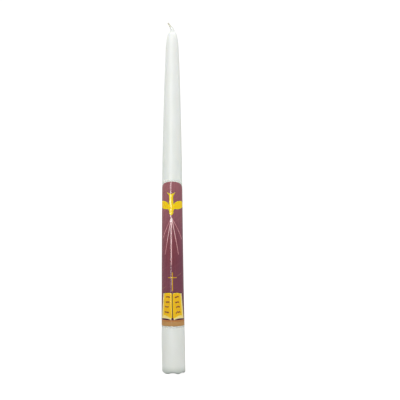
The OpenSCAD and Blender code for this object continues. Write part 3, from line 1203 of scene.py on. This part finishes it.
def page_edge_outline(side):
    """The cream edge of the pages on one side, which shows beside and below the top page."""
    return sided(side, [
        *chain((0.9, 7.2), ((1.0, 5.8), (1.75, 5.7)), ((3.0, 6.6), (4.8, 6.8)), ((8.4, 7.2), (12.3, 6.3))),
        (9.1, 29.3), (7.5, 29.2), (6.6, 27.0),
    ])


def page_outline(side):
    """The top page on one side: -1 is left."""
    return sided(side, [
        *chain((0.35, 29.3), ((1.6, 30.2), (3.8, 29.9)), ((6.2, 29.8), (7.9, 29.1))),
        *chain((9.7, 9.2), ((7.2, 10.0), (4.8, 9.0)), ((3.0, 7.9), (1.9, 7.3)), ((1.0, 7.0), (0.35, 7.7))),
    ])


# Lines of scribble on a page: inner end, outer end, height. Each wanders between so many peaks.
SCRIBBLES = [(2.1, 5.9, 26.1), (2.5, 6.2, 21.6), (3.2, 7.0, 17.3), (3.0, 7.7, 12.5)]
SCRIBBLE_PEAKS = 9
SCRIBBLE_SWING = 0.55
SCRIBBLE_RISE = 0.25
SCRIBBLE_W = 0.58
SCRIBBLE_STEPS = 40


def scribble(side, inner, outer, up, peaks):
    """Outline of one wavy stroke through the peaks, thick in the middle and thin at its ends."""
    upper, lower = [], []
    for i in range(SCRIBBLE_STEPS + 1):
        t = i / SCRIBBLE_STEPS
        at = t * (len(peaks) - 1)
        n = min(int(at), len(peaks) - 2)
        ease = (1 - math.cos(math.pi * (at - n))) / 2
        y = up + peaks[n] + (peaks[n + 1] - peaks[n]) * ease + SCRIBBLE_RISE * (t - 0.5)
        w = SCRIBBLE_W * (0.6 + 0.4 * math.sin(math.pi * t)) + 0.1 * math.sin(9 * t)
        x = side * (inner + (outer - inner) * t)
        upper.append((x, y + w))
        lower.append((x, y - w))
    return [*upper, *lower[::-1]]


def scribble_outlines():
    """Wavy strokes that stand for handwriting and spell nothing."""
    rng = random.Random(SEED + 1)
    outlines = []
    for side in (-1, 1):
        for inner, outer, up in SCRIBBLES:
            peaks = [
                rng.uniform(-SCRIBBLE_SWING, SCRIBBLE_SWING) * (1 if n % 2 else -1) + 0.1
                for n in range(SCRIBBLE_PEAKS)
            ]
            outlines.append(scribble(side, inner, outer, up, peaks))
    return outlines


# Pale slanting streaks in the ground: middle across, middle up, length.
STREAKS = [(-9.5, 33.5, 12), (6.8, 46.1, 7), (-9.5, 118.5, 9), (9.5, 93, 7)]
STREAK_W = 0.7


def streak_outlines():
    slope = math.radians(STREAK_SLOPE)
    along, aside = (math.cos(slope), math.sin(slope)), (-math.sin(slope), math.cos(slope))
    outlines = []
    for across, up, length in STREAKS:
        spread = [-0.5, -0.3, -0.1, 0.1, 0.3, 0.5]
        upper = [(t * length, STREAK_W / 2 * (1 - (2 * t) ** 2)) for t in spread]
        shape = [*upper, *[(s, -w) for s, w in upper[::-1] if w > 1e-6]]
        outlines.append([
            (across + s * along[0] + w * aside[0], up + s * along[1] + w * aside[1]) for s, w in shape
        ])
    return outlines


def bar(foot, top):
    half = PANEL_W_MM / 2
    return [(half, foot), (half, top), (-half, top), (-half, foot)]


def make_print():
    gold = edged_ink("gold_ink", srgb(255, 238, 0), srgb(255, 214, 16), 1.0)
    page_gold = edged_ink("page_gold_ink", srgb(252, 214, 26), srgb(246, 194, 26), 1.4)
    cream = edged_ink("cream_ink", srgb(255, 249, 200), srgb(255, 232, 140), 0.7)
    dark = edged_ink("cover_ink", srgb(78, 30, 62), srgb(86, 36, 62), 0.5)
    ochre = wood_ink("ochre_ink", srgb(180, 112, 58), srgb(206, 146, 88))
    taupe = wood_ink("taupe_ink", srgb(178, 131, 78), srgb(208, 160, 102))
    brown = edged_ink("script_ink", srgb(140, 44, 54), srgb(112, 24, 46), 0.25)
    white = edged_ink("ray_ink", srgb(232, 160, 166), srgb(255, 246, 246), 0.42)
    streak = edged_ink("streak_ink", srgb(138, 86, 88), srgb(160, 112, 96), 0.3)
    cross_gold = edged_ink("cross_ink", srgb(206, 156, 30), srgb(226, 176, 36), 0.3)

    printed("film", [arch(FILM_BORDER_MM)], 0, film_material(), "decal_carrier_film", 0.7)
    printed("ground", [arch(0)], 1, ground_material(), "ground_print", 0.7)
    printed("streaks", streak_outlines(), 2, streak, "light_streaks_print", 0.3)
    printed("dove", [dove_outline()], 2, gold, "dove_print", 0.3)
    printed("rays", [rays_outline()], 2, white, "rays_print", 0.35)
    printed("cross", [cross_outline()], 2, cross_gold, "cross_print", 0.3)
    printed("book_cover", [cover_outline()], 2, dark, "book_cover_print", 0.5)
    for side, word in ((-1, "left"), (1, "right")):
        printed("page_edge_" + word, [page_edge_outline(side)], 3, cream,
                "page_edge_" + word + "_print", 0.4)
        printed("page_" + word, [page_outline(side)], 4, page_gold,
                "page_" + word + "_print", 0.4)
    printed("script_marks", scribble_outlines(), 5, brown, "script_marks_print", 0.2)
    printed("table_line", [bar(BAND_TOP, LINE_TOP)], 2, ochre, "table_line_print", 0.5)
    printed("table_band", [bar(0, BAND_TOP)], 2, taupe, "table_band_print", 0.5)


# ---------------------------------------------------------------- scene

make_camera()
make_studio()
make_floor()
make_wax_coat()
make_core()
wick_path = WickPath()
make_wick(wick_path)
make_sleeve(wick_path)
make_fray(wick_path)
make_print()
